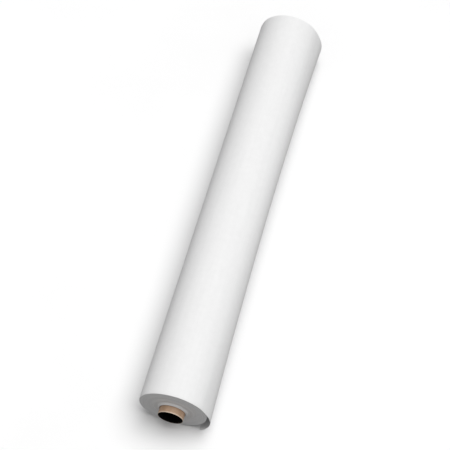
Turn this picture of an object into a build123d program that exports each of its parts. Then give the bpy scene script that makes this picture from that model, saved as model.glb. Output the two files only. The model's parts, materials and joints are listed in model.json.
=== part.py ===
"""A roll of studio backdrop paper on a spiral-wound board core, lying on the floor.

Millimetres. The origin is the centre of the core's bore, half way along the roll. +X runs along the
roll and +Z is up. The paper winds over the top, and its free end hangs down the -Y side.
"""
from build123d import *
from math import cos, degrees, radians, sin
import os

os.makedirs("parts", exist_ok=True)

# ---- driving dimensions -----------------------------------------------------------------------
PAPER_WIDTH = 1350.0        # standard half-width seamless paper
ROLL_RADIUS = 98.0          # outside of the last turn
CORE_BORE_RADIUS = 35.0     # 70 mm core
CORE_OVERHANG = 25.0        # core showing past the paper at each end

PLY_NAMES = ["core_inner_liner", "core_inner_ply", "core_middle_ply", "core_outer_ply", "core_outer_wrap"]
PLY_PITCH = 0.3             # one ply and its glue line
GLUE_LINE = 0.02
SEAM_PITCH = 420.0          # advance of the outer wrap's seam in one turn
SEAM_WIDTH = 0.8
SEAM_DEPTH = 0.15
SEAM_OVERRUN = 70.0         # the seam's cut starts and ends this far past the core

TAPE_WIDTH = 25.0           # double-sided tape that holds the paper's inner end on the core
TAPE_THICKNESS = 0.15
TAPE_MARGIN = 10.0          # paper left without tape at each end
TAPE_ANGLE = 90.0           # middle of the tape, about +X from +Y
TAPE_FLATS = 8              # the tape bends round the core in this many narrow flats
FIT_GAP = 0.05              # air between the core, the tape and the paper

SHEET_THICKNESS = 0.6       # the free end's solid
TURN_SLACK = 0.1            # air between the free end and the turn below it
FREE_LENGTH = 150.0         # paper from the line where it leaves the roll to its cut edge
FREE_ROOT_ANGLE = 155.0     # where the free end leaves the roll, about +X from +Y
NEAR_FLARE = 24.0           # how far the cut edge stands off the roll at the -X end
FAR_FLARE = 25.0            # and at the +X end
TIGHT_PLACE = 50.0          # X where the free end lies on the roll all the way down
FLARE_POWER = 1.5           # the flare grows as this power of the way from there to the end
FLARE_SPANS = 8             # lengths of the roll over which the free end's solid is straight
FLARE_MEAN_SQUARE = 1.2     # mean square slope of the stand-off's smooth curve, for a unit rise and run

REST_FLAT_DEPTH = 0.5       # the heavy roll presses itself this flat where it lies
OUTLINE_STEP = 15           # degrees between the points of the last turn's curve

# ---- sizes that follow ------------------------------------------------------------------------
CORE_LENGTH = PAPER_WIDTH + 2 * CORE_OVERHANG
CORE_RADIUS = CORE_BORE_RADIUS + len(PLY_NAMES) * PLY_PITCH - GLUE_LINE
TAPE_INSIDE = CORE_RADIUS + FIT_GAP
TAPE_OUTSIDE = TAPE_INSIDE + TAPE_THICKNESS
TAPE_TURN = degrees(TAPE_WIDTH / TAPE_INSIDE)
STEP = SHEET_THICKNESS + TURN_SLACK
TURN = 360.0


def spiral_radius(angle):
    """Outside of the wound paper, which grows by one step in the turn that ends at the free end."""
    return ROLL_RADIUS - STEP + STEP * (angle - FREE_ROOT_ANGLE) / TURN


def polar(radius, angle):
    """A point of a cross-section, as (Y, Z)."""
    return (radius * cos(radians(angle)), radius * sin(radians(angle)))


def tape_side(radius):
    """Points round one face of the tape."""
    start = TAPE_ANGLE - TAPE_TURN / 2
    return [polar(radius, start + TAPE_TURN * i / TAPE_FLATS) for i in range(TAPE_FLATS + 1)]


def flare_at(place):
    """How far the cut edge stands off the roll at a place along it."""
    if place < TIGHT_PLACE:
        return NEAR_FLARE * ((TIGHT_PLACE - place) / (TIGHT_PLACE + PAPER_WIDTH / 2)) ** FLARE_POWER
    return FAR_FLARE * ((place - TIGHT_PLACE) / (PAPER_WIDTH / 2 - TIGHT_PLACE)) ** FLARE_POWER


def free_end_span(flare):
    """Degrees of the roll that the free end covers when its cut edge stands off by flare."""
    mean_radius = ROLL_RADIUS + flare / 2
    slope_loss = FLARE_MEAN_SQUARE / 2 * (flare / FREE_LENGTH) ** 2
    return degrees(FREE_LENGTH * (1 - slope_loss) / mean_radius)


def free_end_side(flare, lift, steps=8):
    """Points down one face of the free end, at lift outside the face that lies on the roll.

    The paper leaves the roll gently, stands off, and curls back to lie along the roll at its cut edge.
    """
    points = []
    for i in range(steps + 1):
        way = i / steps
        angle = FREE_ROOT_ANGLE + way * free_end_span(flare)
        gap = flare * way * way * (3 - 2 * way)
        points.append(polar(spiral_radius(angle) + TURN_SLACK + gap + lift, angle))
    return points


# ---- core: a tube of five glued plies ---------------------------------------------------------
for i, name in enumerate(PLY_NAMES):
    ply_bore = CORE_BORE_RADIUS + i * PLY_PITCH
    ply_outside = ply_bore + PLY_PITCH - GLUE_LINE
    with BuildPart() as ply:
        with BuildSketch(Plane.YZ.offset(-CORE_LENGTH / 2)):
            Circle(ply_outside)
            Circle(ply_bore, mode=Mode.SUBTRACT)
        extrude(amount=CORE_LENGTH)
        if name == "core_outer_wrap":
            # The wrap is a strip wound at an angle, so the groove where its edges meet runs round it.
            seam_start = Vector(-CORE_LENGTH / 2 - SEAM_OVERRUN, 0, 0)
            seam_length = CORE_LENGTH + 2 * SEAM_OVERRUN
            with BuildLine() as seam:
                Helix(SEAM_PITCH, seam_length, ply_outside, center=seam_start, direction=(1, 0, 0))
            outward = seam.line @ 0 - seam_start
            with BuildSketch(Plane(seam.line @ 0, x_dir=outward, z_dir=seam.line % 0)):
                Rectangle(2 * SEAM_DEPTH, SEAM_WIDTH)
            sweep(is_frenet=True, mode=Mode.SUBTRACT)
    ply.part.label = name
    export_step(ply.part, f"parts/{name}.step")

# ---- tape under the paper's inner end ---------------------------------------------------------
with BuildPart() as inner_end_tape:
    with BuildSketch(Plane.YZ.offset(-PAPER_WIDTH / 2 + TAPE_MARGIN)):
        with BuildLine():
            Polyline(*tape_side(TAPE_INSIDE), *reversed(tape_side(TAPE_OUTSIDE)), close=True)
        make_face()
    extrude(amount=PAPER_WIDTH - 2 * TAPE_MARGIN)
inner_end_tape.part.label = "inner_end_tape"
export_step(inner_end_tape.part, "parts/inner_end_tape.step")

# ---- paper wound on the core ------------------------------------------------------------------
outline_angles = [FREE_ROOT_ANGLE + turned for turned in range(0, int(TURN) + 1, OUTLINE_STEP)]
rest_height = -spiral_radius(TURN * 3 / 4) + REST_FLAT_DEPTH
with BuildPart() as wound_paper:
    with BuildSketch(Plane.YZ.offset(-PAPER_WIDTH / 2)):
        with BuildLine():
            last_turn = Spline([polar(spiral_radius(angle), angle) for angle in outline_angles])
            Line(last_turn @ 1, last_turn @ 0)
        make_face()
        Circle(TAPE_INSIDE, mode=Mode.SUBTRACT)
        # The turns lift over the tape, and leave the same air round it as round the core.
        tape_room_turn = TAPE_TURN + degrees(2 * FIT_GAP / TAPE_INSIDE)
        with BuildLine():
            over_tape = CenterArc(
                (0, 0), TAPE_OUTSIDE + FIT_GAP, TAPE_ANGLE - tape_room_turn / 2, tape_room_turn
            )
            Line(over_tape @ 1, (0, 0))
            Line((0, 0), over_tape @ 0)
        make_face(mode=Mode.SUBTRACT)
        with Locations((0, rest_height)):
            Rectangle(2 * ROLL_RADIUS, ROLL_RADIUS, align=(Align.CENTER, Align.MAX), mode=Mode.SUBTRACT)
    extrude(amount=PAPER_WIDTH)
wound_paper.part.label = "wound_paper"
export_step(wound_paper.part, "parts/wound_paper.step")

# ---- free end of the paper --------------------------------------------------------------------
with BuildPart() as paper_free_end:
    for i in range(FLARE_SPANS + 1):
        place = -PAPER_WIDTH / 2 + PAPER_WIDTH * i / FLARE_SPANS
        with BuildSketch(Plane.YZ.offset(place)):
            with BuildLine():
                inner_side = Spline(free_end_side(flare_at(place), 0))
                outer_side = Spline(free_end_side(flare_at(place), SHEET_THICKNESS))
                Line(inner_side @ 0, outer_side @ 0)
                Line(inner_side @ 1, outer_side @ 1)
            make_face()
    loft(ruled=True)
paper_free_end.part.label = "paper_free_end"
export_step(paper_free_end.part, "parts/paper_free_end.step")

# The hinge line of the free end, for the record.
hinge_y, hinge_z = polar(ROLL_RADIUS, FREE_ROOT_ANGLE)
print(f"free end turns about Y {hinge_y:.3f}, Z {hinge_z:.3f}; roll rests at Z {rest_height:.3f}")
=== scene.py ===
"""Looks of the backdrop paper roll: paper, core, floor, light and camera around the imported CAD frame.

Metres, in the CAD's frame: +X along the roll, +Z up, the free end of the paper on the -Y side.
Angles round the roll are turned about +X and start at +Y, so 90 degrees is the top.
"""
import json
import math

import bmesh
import bpy
import numpy as np
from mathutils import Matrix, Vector


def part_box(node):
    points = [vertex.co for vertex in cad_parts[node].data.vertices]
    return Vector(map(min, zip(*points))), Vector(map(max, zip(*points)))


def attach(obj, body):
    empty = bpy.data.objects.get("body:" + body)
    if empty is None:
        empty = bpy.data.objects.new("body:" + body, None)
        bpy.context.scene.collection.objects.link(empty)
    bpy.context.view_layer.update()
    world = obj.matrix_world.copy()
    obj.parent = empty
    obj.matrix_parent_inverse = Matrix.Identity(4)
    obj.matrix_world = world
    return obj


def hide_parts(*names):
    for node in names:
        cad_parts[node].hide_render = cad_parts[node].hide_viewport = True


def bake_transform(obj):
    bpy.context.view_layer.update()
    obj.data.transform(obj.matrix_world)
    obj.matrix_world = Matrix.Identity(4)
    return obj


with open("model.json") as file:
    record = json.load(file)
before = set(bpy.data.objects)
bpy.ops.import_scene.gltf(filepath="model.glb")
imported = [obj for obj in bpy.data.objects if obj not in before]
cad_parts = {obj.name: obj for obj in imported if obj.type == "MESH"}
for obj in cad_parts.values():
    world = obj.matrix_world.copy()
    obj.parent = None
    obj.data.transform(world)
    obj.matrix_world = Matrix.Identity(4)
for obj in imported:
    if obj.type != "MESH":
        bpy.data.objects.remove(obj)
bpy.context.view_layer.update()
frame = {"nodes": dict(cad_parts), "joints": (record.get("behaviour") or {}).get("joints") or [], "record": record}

MM = 0.001
TURN = 360

# ---- sizes read from the frame ----------------------------------------------------------------
HINGE = frame["joints"][0]
HINGE_POINT = Vector(HINGE["pos_m"])
ROLL_RADIUS = math.hypot(HINGE_POINT.y, HINGE_POINT.z)
ROOT_ANGLE = math.degrees(math.atan2(HINGE_POINT.z, HINGE_POINT.y))
PAPER_LOW, PAPER_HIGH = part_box("wound_paper")
HALF_WIDTH = PAPER_HIGH.x
FLOOR_Z = PAPER_LOW.z
CORE_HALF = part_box("core_outer_wrap")[1].x
CORE_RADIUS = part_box("core_outer_wrap")[1].z
BORE_RADIUS = frame["record"]["mounts"][0]["dims"]["r_mm"] * MM
PLY_NODES = ["core_inner_liner", "core_inner_ply", "core_middle_ply", "core_outer_ply", "core_outer_wrap"]
PLY_PITCH = (CORE_RADIUS - BORE_RADIUS) / len(PLY_NODES)
GLUE_LINE = 0.02 * MM
SEAM_PITCH = 420 * MM           # advance of the outer wrap's seam in one turn
SEAM_WIDTH = 0.8 * MM
SEAM_DEPTH = 0.15 * MM
SEAM_OVERRUN = 70 * MM
SEAM_START_ANGLE = 90
CUT_RAGGED = 0.15 * MM          # unevenness of the core's cut ends
WEAR_AND_HIGHLIGHT_WANDER = 2 * MM            # unevenness of the pale lip on the kraft at the cut ends: wear, and a painted highlight of the edge catching the light
WEAR_AND_HIGHLIGHT_FROM = CORE_HALF - 2.6 * MM
WEAR_AND_HIGHLIGHT_TO = CORE_HALF - 1 * MM
SEAM_SLOPE = 1.4                # the groove is this much wider at its top than at its bottom

# ---- sizes of the paper -----------------------------------------------------------------------
SHEET = 0.2 * MM                # one sheet of backdrop paper
SLACK = 0.05 * MM               # air under the free end where it starts
FREE_LENGTH = 150 * MM          # paper from the line where it leaves the roll to its cut edge
NEAR_FLARE = 24 * MM            # how far the cut edge stands off the roll at the -X end
FAR_FLARE = 25 * MM             # and at the +X end
TIGHT_PLACE = 50 * MM           # X where the free end lies on the roll all the way down
FLARE_POWER = 1.5               # the flare grows as this power of the way from there to the end
FLARE_MEAN_SQUARE = 1.2         # mean square slope of ease(), the curve by which the paper stands off
SKEW = 2.3 * MM                 # the free end unrolls slightly askew, towards -X at its cut edge

# ---- sizes of the roll's ends -----------------------------------------------------------------
CORE_GAP = 1.6 * MM             # open crevice round the core at each face of the roll
CORE_GAP_DEPTH = 9 * MM
TELESCOPE = 5.2 * MM            # the innermost turns have slid this far towards -X
TELESCOPE_REACH = 5 * MM        # distance from the core over which that dies away
FACE_BORE = CORE_RADIUS + CORE_GAP
TIGHT_BORE = CORE_RADIUS + 0.03 * MM
SURFACE_WAVE = 0.12 * MM        # unevenness of the last turn
RIM_DROP = 1.1 * MM             # the outer turns are this much smaller at their edges
RIM_REACH = 9 * MM              # distance from the edge over which that dies away
RIM_ROWS = 6                    # rows of points in each soft rim
FACE_EDGE = ROLL_RADIUS - SHEET - RIM_DROP

# The web's edge wanders from turn to turn: in a few slips, in bundles of turns and in single leaves.
# Each has a height, a number of layers from the core to the outside, and how sharply the layers meet.
RELIEF = ((0.38 * MM, 7, 5), (0.20 * MM, 36, 2), (0.10 * MM, 120, 1))
RELIEF_FADE = 0.3               # power by which the relief dies away at the core and at the edge

# ---- shading ----------------------------------------------------------------------------------
SHARP_ANGLE = 35                # smooth shading stops at edges sharper than this
END_FACE_NORMAL = 0.7           # a face of the wound paper is an end's if its normal has this much X
NOISE_LOW = 0.3                 # most of a noise's values lie between these two
NOISE_HIGH = 0.7

# ---- floor and light --------------------------------------------------------------------------
FLOOR_HALF = 40                 # from the middle of the floor to its edge
FLOOR_CLEARANCE = 0.05 * MM
FLOOR_BOUNCE = 0.25             # tone of the floor for the light that it throws back up

# ---- camera -----------------------------------------------------------------------------------
CAMERA_AZIMUTH = 285.28         # looking direction, 0 along +Y and 90 along -X
CAMERA_ELEVATION = 59.97
CAMERA_PLACE = Vector((-1.952, -0.498, 3.376))
CAMERA_LENS = 104.54            # millimetres, as the sensor's width is
SENSOR_WIDTH = 36


def polar(radius, angle):
    """(y, z) at a radius and an angle in degrees. Takes arrays too."""
    turned = np.radians(angle)
    return radius * np.cos(turned), radius * np.sin(turned)


def ease(way):
    """Goes from 0 to 1 with a gentle start and end."""
    return way * way * (3 - 2 * way)


# ---- small repeatable unevenness --------------------------------------------------------------
def waves(seed, lengths, count=5):
    """A smooth, repeatable function of two lengths in metres, with a value of about -1 to 1."""
    rng = np.random.default_rng(seed)
    slowest, fastest = 0.4, 1.0
    rates = 2 * math.pi / np.array(lengths)
    kx = rng.uniform(slowest, fastest, count) * rates[0] * rng.choice([-1, 1], count)
    ky = rng.uniform(slowest, fastest, count) * rates[1]
    phase = rng.uniform(0, 2 * math.pi, count)

    def value(x, y):
        total = 0
        for a, b, c in zip(kx, ky, phase):
            total = total + np.sin(a * x + b * y + c)
        return total / math.sqrt(2 * count)

    return value


def uneven_line(seed, count, spread=0.5):
    """A smooth, repeatable function of one number from 0 to count, with a new value at each whole number."""
    heights = np.random.default_rng(seed).normal(0, spread, count + 2)

    def value(place):
        place = np.clip(place, 0, count)
        low = np.floor(place).astype(int)
        return heights[low] * (1 - ease(place - low)) + heights[low + 1] * ease(place - low)

    return value


def layered(line, layers, share, turned, crisp=1.0):
    """Height of an end face where the web's edge wanders as line says, from one layer to the next.

    The web is wound as a spiral of layers, share is the way from the core to the outside, and turned
    the part of a turn past the free end's root. With crisp above 1, the layers meet in sharper steps.
    """
    place = share * layers - turned
    layer = np.floor(place)
    blend = ease(np.clip((place - layer - 0.5) * crisp + 0.5, 0, 1))
    return line(layer + turned + 1) * (1 - blend) + line(layer + turned + 2) * blend


# ---- meshes -----------------------------------------------------------------------------------
def new_piece(name, points, faces, body, smooth=True):
    """A mesh piece in the frame's own metres, which rides on the body if there is one."""
    mesh = bpy.data.meshes.new(name)
    mesh.from_pydata([tuple(p) for p in points], [], faces)
    mesh.validate()
    mesh.update()
    piece = bpy.data.objects.new(name, mesh)
    bpy.context.scene.collection.objects.link(piece)
    mesh.polygons.foreach_set("use_smooth", [smooth] * len(mesh.polygons))
    if body:
        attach(piece, body)
    return piece


def sharpen(piece):
    """Turns the normals outward, and stops smooth shading at the sharp edges."""
    work = bmesh.new()
    work.from_mesh(piece.data)
    bmesh.ops.recalc_face_normals(work, faces=work.faces)
    limit = math.radians(SHARP_ANGLE)
    for edge in work.edges:
        if len(edge.link_faces) == 2 and edge.calc_face_angle(0) > limit:
            edge.smooth = False
    work.to_mesh(piece.data)
    work.free()


def outside_radius(angle):
    """Outside of the wound paper, which grows by one sheet in the turn that ends at the free end."""
    return ROLL_RADIUS - (SHEET + SLACK) * (1 - (angle - ROOT_ANGLE) / TURN)


def lengthwise_places(count):
    """Places along the paper from edge to edge, closer together in its soft rims."""
    rim = np.linspace(0, RIM_REACH, RIM_ROWS + 1)[:-1]
    middle = np.linspace(RIM_REACH, 2 * HALF_WIDTH - RIM_REACH, count)
    return np.concatenate([rim, middle, 2 * HALF_WIDTH - rim[::-1]]) - HALF_WIDTH


def rim_drop(x):
    """How far the outer turns have eased inward at a place along the roll."""
    return RIM_DROP * max(0, 1 - (HALF_WIDTH - abs(x)) / RIM_REACH) ** 2


def end_relief(seed):
    """How far a wound end stands out of true, as a function of the way out from the core and the turn."""
    lines = [uneven_line(seed + i, layers + 2) for i, (_, layers, _) in enumerate(RELIEF)]

    def value(share, turned):
        total = 0
        for line, (height, layers, crisp) in zip(lines, RELIEF):
            total = total + height * layered(line, layers, share, turned, crisp)
        return total

    return value


def wound_profile(places, rings):
    """One lengthwise profile: out over the near face, along the outside, in over the far face, back."""
    shares = np.linspace(0, 1, rings)[:-1]
    profile = [("face", -1, share) for share in shares]
    profile += [("outside", 0, x) for x in places]
    profile += [("face", 1, share) for share in shares[::-1]]
    return profile + [("bore", 1, 0), ("bore", -1, 0)]


def face_ring(side, share, relief, turned):
    """Places along the roll and radii of a ring of points on an end face, at a share of the way out."""
    radius = FACE_BORE + share * (FACE_EDGE - FACE_BORE)
    fade = math.sin(math.pi * share) ** RELIEF_FADE
    slid = TELESCOPE * math.exp(-(((radius - FACE_BORE) / TELESCOPE_REACH) ** 2))
    x = side * (HALF_WIDTH + fade * relief(share, turned)) - slid
    return x, np.full(len(turned), radius)


def outside_ring(x, surface_wave, turned):
    """Places along the roll and radii of a row of points round the last turn, from its step to its step."""
    angle = ROOT_ANGLE + TURN * turned
    wave = surface_wave(x, np.radians(angle) * ROLL_RADIUS) - 1
    fading = np.sqrt(np.sin(np.pi * turned))
    radius = outside_radius(angle) + SURFACE_WAVE * wave * fading - rim_drop(x)
    return np.full(len(turned), x), radius


def wound_faces(profile, starts, columns):
    """Faces between each ring of the wound paper and the next, and the step where its last turn ends."""

    def index(k, i):
        return starts[k] + (i if profile[k][0] == "outside" else i % columns)

    faces = []
    for k in range(len(profile)):
        after = (k + 1) % len(profile)
        for i in range(columns):
            faces.append((index(k, i), index(k, i + 1), index(after, i + 1), index(after, i)))
    outside = [k for k, ring in enumerate(profile) if ring[0] == "outside"]
    first, last = outside[0], outside[-1]
    for k in range(first, last):
        faces.append((index(k, columns), index(k, 0), index(k + 1, 0), index(k + 1, columns)))
    faces.append((index(first - 1, 0), index(first, 0), index(first, columns)))
    faces.append((index(last + 1, 0), index(last, columns), index(last, 0)))
    return faces


def make_wound_paper(name="wound_paper_roll", columns=320, lengthwise=64, rings=150):
    """The wound paper as one closed shell: two layered end faces, the outside and the bore."""
    surface_wave = waves(seed=11, lengths=(0.42, 0.16))
    relief = {-1: end_relief(seed=21), 1: end_relief(seed=31)}
    turned = np.arange(columns + 1) / columns
    profile = wound_profile(lengthwise_places(lengthwise), rings)
    points = []
    starts = []
    for kind, side, value in profile:
        starts.append(len(points))
        if kind == "face":
            x, radius = face_ring(side, value, relief[side], turned[:-1])
        elif kind == "bore":
            x = np.full(columns, side * (HALF_WIDTH - CORE_GAP_DEPTH))
            radius = np.full(columns, TIGHT_BORE)
        else:
            x, radius = outside_ring(value, surface_wave, turned)
        y, z = polar(radius, ROOT_ANGLE + TURN * turned[: len(radius)])
        points += list(zip(x, y, np.maximum(z, FLOOR_Z)))
    piece = new_piece(name, points, wound_faces(profile, starts, columns), "roll")
    sharpen(piece)
    return piece


def flare_at(x):
    """How far the cut edge stands off the roll at a place along it."""
    if x < TIGHT_PLACE:
        return NEAR_FLARE * ((TIGHT_PLACE - x) / (TIGHT_PLACE + HALF_WIDTH)) ** FLARE_POWER
    return FAR_FLARE * ((x - TIGHT_PLACE) / (HALF_WIDTH - TIGHT_PLACE)) ** FLARE_POWER


def free_end_span(flare):
    """Degrees of the roll that the free end covers when its cut edge stands off by flare."""
    mean_radius = ROLL_RADIUS + flare / 2
    slope_loss = FLARE_MEAN_SQUARE / 2 * (flare / FREE_LENGTH) ** 2
    return math.degrees(FREE_LENGTH * (1 - slope_loss) / mean_radius)


def free_end_side(lift, along, ways):
    """Rows of points down one face of the free end, at lift outside the face that lies on the roll."""
    rows = []
    for x in along:
        flare = flare_at(x)
        angle = ROOT_ANGLE + ways * free_end_span(flare)
        radius = outside_radius(angle) + SLACK + flare * ease(ways) + lift
        y, z = polar(radius - rim_drop(x) * (1 - ways) ** 2, angle)
        rows.append(np.stack([x - SKEW * ways**2, y, z], axis=1))
    return np.array(rows)


def sheet_faces(rows, across):
    """Faces of a sheet whose two sides are grids of points, the inner side first, and of its edges."""
    offset = rows * across
    faces = []
    for j in range(rows - 1):
        for i in range(across - 1):
            a, b = j * across + i, (j + 1) * across + i
            faces.append((a, b, b + 1, a + 1))
            faces.append((offset + a, offset + a + 1, offset + b + 1, offset + b))
    rim = [j * across for j in range(rows)]
    rim += [(rows - 1) * across + i for i in range(1, across)]
    rim += [j * across + across - 1 for j in range(rows - 2, -1, -1)]
    rim += list(range(across - 2, 0, -1))
    for a, b in zip(rim, rim[1:] + rim[:1]):
        faces.append((a, offset + a, offset + b, b))
    return faces


def make_free_end(name="paper_free_end_sheet", down=56, lengthwise=96):
    """The free end as a sheet of real thickness, from the roll's last step to its cut edge."""
    along = lengthwise_places(lengthwise)
    ways = np.linspace(0, 1, down + 1)
    sides = [free_end_side(lift, along, ways).reshape(-1, 3) for lift in (0, SHEET)]
    piece = new_piece(name, np.concatenate(sides), sheet_faces(len(along), len(ways)), None)
    sharpen(piece)
    return piece


def seam_angle(x):
    """Where the groove between the outer wrap's edges lies, at a place along the core."""
    return SEAM_START_ANGLE + TURN * (x + CORE_HALF + SEAM_OVERRUN) / SEAM_PITCH


def seam_columns(columns, outside, grooved):
    """Angles round a ply from its seam, and how deep the seam's groove is at each."""
    turned = np.arange(columns) * TURN / columns
    if not grooved:
        return turned, np.zeros(columns)
    lip = math.degrees(SEAM_WIDTH / 2 / outside)
    turned = np.concatenate([[-SEAM_SLOPE * lip, -lip, lip, SEAM_SLOPE * lip], turned[1:-1]])
    depth = np.zeros(len(turned))
    depth[1:3] = SEAM_DEPTH  # between its two lips
    return turned, depth


def ply_profile(inside, outside, stub_rows=18, middle_rows=60):
    """One lengthwise profile of a ply: along its outside, and back through its bore."""
    stub = np.linspace(HALF_WIDTH - CORE_GAP_DEPTH, CORE_HALF, stub_rows)
    middle = np.linspace(-HALF_WIDTH, HALF_WIDTH, middle_rows)[2:-2]  # clear of the stubs
    profile = [(x, outside) for x in np.concatenate([-stub[::-1], middle, stub])]
    return profile + [(x, inside) for x in (CORE_HALF, 0, -CORE_HALF)]


def tube_faces(rings, count):
    """Faces between each closed ring of points and the next, and from the last ring to the first."""
    faces = []
    for k in range(rings):
        after = (k + 1) % rings
        for i in range(count):
            n = (i + 1) % count
            faces.append((k * count + i, k * count + n, after * count + n, after * count + i))
    return faces


def make_ply(name, inside, outside, seed, grooved=False, columns=180):
    """One ply of the core as a tube whose columns follow the wrap's spiral, with ragged cut ends."""
    ragged = waves(seed, lengths=(0.012, 0.012), count=6)
    turned, depth = seam_columns(columns, outside, grooved)
    profile = ply_profile(inside, outside)
    points = []
    for x, radius in profile:
        angle = turned + seam_angle(x)
        at_end = math.isclose(abs(x), CORE_HALF)
        trim = at_end * CUT_RAGGED * (1 + ragged(np.radians(angle) * radius, radius))
        y, z = polar(radius - (depth if radius == outside else 0), angle)
        points += list(zip(x - np.sign(x) * trim, y, z))
    piece = new_piece(name, points, tube_faces(len(profile), len(turned)), "roll")
    sharpen(piece)
    return piece


# ---- materials --------------------------------------------------------------------------------
class Nodes:
    """A material's node tree, with one short call for each node."""

    def __init__(self, name):
        self.material = bpy.data.materials.new(name)
        self.material.use_nodes = True
        self.tree = self.material.node_tree
        self.shader = self.tree.nodes["Principled BSDF"]

    def node(self, kind, inputs=(), **settings):
        made = self.tree.nodes.new(kind)
        for key, value in settings.items():
            setattr(made, key, value)
        for key, value in dict(inputs).items():
            self.set(made, key, value)
        return made

    def set(self, node, key, value):
        if isinstance(value, bpy.types.NodeSocket):
            self.tree.links.new(value, node.inputs[key])
        else:
            node.inputs[key].default_value = value

    def place(self):
        return self.node("ShaderNodeTexCoord").outputs["Object"]

    def stretched(self, vector, scale):
        return self.node("ShaderNodeMapping", {"Vector": vector, "Scale": scale}).outputs[0]

    def noise(self, vector, scale, detail=2.0, roughness=0.5):
        inputs = {"Vector": vector, "Scale": scale, "Detail": detail, "Roughness": roughness}
        return self.node("ShaderNodeTexNoise", inputs).outputs["Fac"]

    def maths(self, operation, a, b=0.0):
        return self.node("ShaderNodeMath", {0: a, 1: b}, operation=operation).outputs[0]

    def mixed(self, a, share, b):
        """That share of a, and the rest of b."""
        part = self.maths("MULTIPLY", a, share)
        rest = self.maths("MULTIPLY", b, 1 - share)
        return self.maths("ADD", part, rest)

    def ramp(self, value, dark, light, low=NOISE_LOW, high=NOISE_HIGH):
        """The dark colour where the value is low, going to the light one where it is high."""
        made = self.node("ShaderNodeValToRGB", {"Fac": value})
        start, end = made.color_ramp.elements
        start.position, start.color = low, (*dark, 1)
        end.position, end.color = high, (*light, 1)
        return made.outputs["Color"]

    def grey(self, value, dark, light, low=NOISE_LOW, high=NOISE_HIGH):
        return self.ramp(value, (dark,) * 3, (light,) * 3, low, high)

    def blended(self, factor, a, b, blend_type="MIX"):
        """Colour a where factor is 0, going to colour b (or to the two combined) where it is 1."""
        made = self.node("ShaderNodeMix", data_type="RGBA", blend_type=blend_type)
        for key, value in ((0, factor), (6, a), (7, b)):
            self.set(made, key, value)
        return made.outputs[2]

    def bump(self, height, distance, strength=1.0):
        inputs = {"Height": height, "Distance": distance, "Strength": strength}
        return self.node("ShaderNodeBump", inputs).outputs["Normal"]

    def finish(self, **inputs):
        for key, value in inputs.items():
            self.set(self.shader, key.replace("_", " "), value)
        return self.material


def paper_material():
    """Smooth white uncoated paper: cloudy formation, fine tooth, no shine."""
    n = Nodes("white_paper")
    place = n.place()
    cloud = n.noise(place, scale=60, detail=4, roughness=0.6)
    tooth = n.noise(place, scale=2600, roughness=0.6)
    machine = n.noise(n.stretched(place, (3, 90, 90)), scale=1)
    colour = n.grey(n.mixed(cloud, 0.6, machine), dark=0.80, light=0.84)
    bump = n.bump(n.mixed(cloud, 0.5, tooth), distance=0.04 * MM, strength=0.5)
    return n.finish(Base_Color=colour, Roughness=0.85, Normal=bump)


def paper_edge_material():
    """The cut edges of the turns: fine rings of light and shadow round the roll's axis."""
    n = Nodes("paper_edges")
    place = n.place()
    parts = n.node("ShaderNodeSeparateXYZ", {"Vector": place})
    y, z = parts.outputs["Y"], parts.outputs["Z"]
    radius = n.maths("SQRT", n.maths("ADD", n.maths("MULTIPLY", y, y), n.maths("MULTIPLY", z, z)))
    # The rings change slowly on the way round.
    drift = 0.02
    along = {"X": radius, "Y": n.maths("MULTIPLY", y, drift), "Z": n.maths("MULTIPLY", z, drift)}
    rings = n.node("ShaderNodeCombineXYZ", along).outputs[0]
    broad = n.noise(rings, scale=150)
    bundles = n.noise(rings, scale=900, roughness=0.6)
    leaves = n.noise(rings, scale=4200, detail=1)
    fibres = n.noise(place, scale=1800, roughness=0.6)
    fine = n.mixed(bundles, 0.55, leaves)
    tone = n.mixed(n.mixed(broad, 0.35, fine), 0.85, fibres)
    colour = n.grey(tone, dark=0.73, light=0.91, low=0.36, high=0.64)
    bump = n.bump(fine, distance=0.25 * MM, strength=0.8)
    return n.finish(Base_Color=colour, Roughness=0.95, Normal=bump)


def board_material(name, dark, light, gloss=0.5, roughness=0.9, wear_and_highlight=None):
    """Paperboard: long fibres, specks and uneven tone, and a paler lip at the core's cut ends, partly wear and
    partly a painted highlight.
    """
    n = Nodes(name)
    place = n.place()
    fibre = n.noise(n.stretched(place, (150, 900, 900)), scale=1, detail=4, roughness=0.6)
    cloud = n.noise(place, scale=70, detail=3)
    speck = n.noise(place, scale=1500, detail=1)
    base = n.ramp(n.mixed(fibre, 0.4, cloud), dark, light)
    specks = n.grey(speck, dark=0.8, light=1.0, low=0.25, high=0.42)
    colour = n.blended(1.0, base, specks, "MULTIPLY")
    if wear_and_highlight:
        # The pale lip at the cut ends: worn fibres, and a painted highlight where the edge catches the light.
        along = n.node("ShaderNodeSeparateXYZ", {"Vector": place}).outputs["X"]
        wander = n.maths("MULTIPLY", n.noise(place, scale=260, detail=3, roughness=0.6), WEAR_AND_HIGHLIGHT_WANDER)
        reach = n.maths("ADD", n.maths("ABSOLUTE", along), wander)
        lip = n.node("ShaderNodeMapRange", {"Value": reach, "From Min": WEAR_AND_HIGHLIGHT_FROM, "From Max": WEAR_AND_HIGHLIGHT_TO})
        colour = n.blended(lip.outputs["Result"], colour, (*wear_and_highlight, 1))
    n.set(n.shader, "Specular IOR Level", gloss)
    bump = n.bump(fibre, distance=0.1 * MM, strength=0.5)
    return n.finish(Base_Color=colour, Roughness=roughness, Normal=bump)


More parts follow.
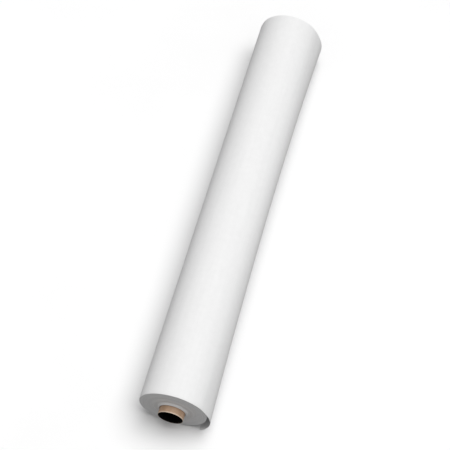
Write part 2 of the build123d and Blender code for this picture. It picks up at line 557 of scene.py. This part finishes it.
def tape_material():
    """Double-sided tissue tape: long thin fibres under a slightly shiny, yellowish adhesive."""
    n = Nodes("tissue_tape")
    place = n.place()
    fibre = n.noise(n.stretched(place, (120, 1600, 1600)), scale=1, detail=4, roughness=0.65)
    smear = n.noise(n.stretched(place, (25, 240, 240)), scale=1, detail=3)
    colour = n.ramp(n.mixed(fibre, 0.5, smear), dark=(0.74, 0.70, 0.58), light=(0.88, 0.86, 0.78))
    shine = n.grey(smear, dark=0.28, light=0.5)
    bump = n.bump(fibre, distance=0.05 * MM, strength=0.6)
    return n.finish(Base_Color=colour, Roughness=shine, Normal=bump)


def assign(piece, *materials):
    piece.data.materials.clear()
    for material in materials:
        piece.data.materials.append(material)


# ---- making: the camera -----------------------------------------------------------------------
def make_camera():
    """The camera looks down along the roll, from beyond its near end."""
    camera = bpy.data.objects.new("camera", bpy.data.cameras.new("camera"))
    bpy.context.scene.collection.objects.link(camera)
    a, e = math.radians(CAMERA_AZIMUTH), math.radians(CAMERA_ELEVATION)
    back = Vector((math.sin(a) * math.cos(e), -math.cos(a) * math.cos(e), math.sin(e)))
    camera.rotation_mode = "QUATERNION"
    camera.rotation_quaternion = (-back).to_track_quat("-Z", "Y")
    camera.location = CAMERA_PLACE
    camera.data.sensor_width = SENSOR_WIDTH
    camera.data.lens = CAMERA_LENS
    bpy.context.scene.camera = camera


make_camera()


# ---- making: the object -----------------------------------------------------------------------
white_paper = paper_material()
paper_edges = paper_edge_material()

roll = make_wound_paper()
assign(roll, white_paper, paper_edges)
for face in roll.data.polygons:
    face.material_index = int(abs(face.normal.x) > END_FACE_NORMAL)
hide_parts("wound_paper")

sheet = make_free_end()
assign(sheet, white_paper)
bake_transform(sheet)
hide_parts("paper_free_end")

# The third kraft colour is the pale lip at the cut ends: wear, and a painted highlight.
kraft_dark, kraft_light, kraft_wear_and_highlight = (0.33, 0.205, 0.125), (0.56, 0.375, 0.25), (0.68, 0.54, 0.42)
kraft = board_material("kraft_wrap", kraft_dark, kraft_light, gloss=0.6, roughness=0.6, wear_and_highlight=kraft_wear_and_highlight)
board = board_material("core_board", (0.32, 0.25, 0.19), (0.50, 0.40, 0.31))
# Black lining, far darker than real black board: painted shade, so the bore reads black right up to its mouth.
liner_and_bore_shade = board_material("black_liner_and_bore_shade", (0.003, 0.003, 0.003), (0.009, 0.009, 0.009), gloss=0.1)
PLY_LOOKS = [liner_and_bore_shade, board, board, board, kraft]
PLY_SLOTS = ["core_liner", "core_board", "core_board", "core_board", "kraft_wrap"]
for i, (node, look, slot) in enumerate(zip(PLY_NODES, PLY_LOOKS, PLY_SLOTS)):
    inside = BORE_RADIUS + i * PLY_PITCH
    outside = inside + PLY_PITCH - GLUE_LINE
    ply = make_ply(node + "_tube", inside, outside, seed=40 + i, grooved=node == "core_outer_wrap")
    assign(ply, look)
    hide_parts(node)
assign(frame["nodes"]["inner_end_tape"], tape_material())


# ---- making: the floor and the light ----------------------------------------------------------
def make_floor():
    """A plain pale floor just under the roll."""
    corners = [(-1, -1), (1, -1), (1, 1), (-1, 1)]
    points = [(x * FLOOR_HALF, y * FLOOR_HALF, 0) for x, y in corners]
    floor = new_piece("floor", points, [(0, 1, 2, 3)], None, smooth=False)
    floor.location.z = FLOOR_Z - FLOOR_CLEARANCE
    n = Nodes("floor_white")
    seen = n.grey(n.noise(n.place(), scale=3), dark=0.94, light=0.96)
    # The studio keeps the light that the floor throws back up low, so the roll's sides fall off.
    bounced = n.node("ShaderNodeLightPath").outputs["Is Diffuse Ray"]
    colour = n.blended(bounced, seen, (FLOOR_BOUNCE, FLOOR_BOUNCE, FLOOR_BOUNCE, 1))
    assign(floor, n.finish(Base_Color=colour, Roughness=0.8))


def add_light(name, data, towards):
    """Puts a light in the scene, shining from that way on the middle of the roll."""
    light = bpy.data.objects.new(name, data)
    light.rotation_mode = "QUATERNION"
    light.rotation_quaternion = (-Vector(towards)).to_track_quat("-Z", "Y")
    bpy.context.scene.collection.objects.link(light)
    return light


def area_light(name, place, size, power):
    """A soft box at that place."""
    data = bpy.data.lights.new(name, "AREA")
    data.shape = "RECTANGLE"
    data.size, data.size_y = size
    data.energy = power
    add_light(name, data, place).location = place


def sky_light(name, towards, spread, strength):
    """Even soft light over the whole floor, from a patch of the sky that many degrees across."""
    data = bpy.data.lights.new(name, "SUN")
    data.angle = math.radians(spread)
    data.energy = strength
    add_light(name, data, towards)


def make_world(glow, seen):
    """Even light from all round, with a paler tone where the camera looks past the floor."""
    world = bpy.data.worlds.new("studio")
    world.use_nodes = True
    tree = world.node_tree
    background = tree.nodes["Background"]
    background.inputs["Color"].default_value = (1, 1, 1, 1)
    camera_ray = tree.nodes.new("ShaderNodeLightPath").outputs["Is Camera Ray"]
    strength = tree.nodes.new("ShaderNodeMapRange")
    strength.inputs["To Min"].default_value = glow
    strength.inputs["To Max"].default_value = seen
    tree.links.new(camera_ray, strength.inputs["Value"])
    tree.links.new(strength.outputs["Result"], background.inputs["Strength"])
    bpy.context.scene.world = world


make_floor()
make_world(glow=0.27, seen=0.85)
sky_light("open_soft_light", towards=(0.18, -0.225, 0.957), spread=50, strength=1.88)
area_light("overhead", place=(-0.1, -0.8, 3.5), size=(3.0, 2.6), power=30)
area_light("side_left", place=(0, 2.6, 1.1), size=(3.0, 0.8), power=7)
area_light("side_right", place=(0, -2.6, 1.1), size=(3.0, 0.8), power=5)
bpy.context.scene.view_settings.view_transform = "Standard"
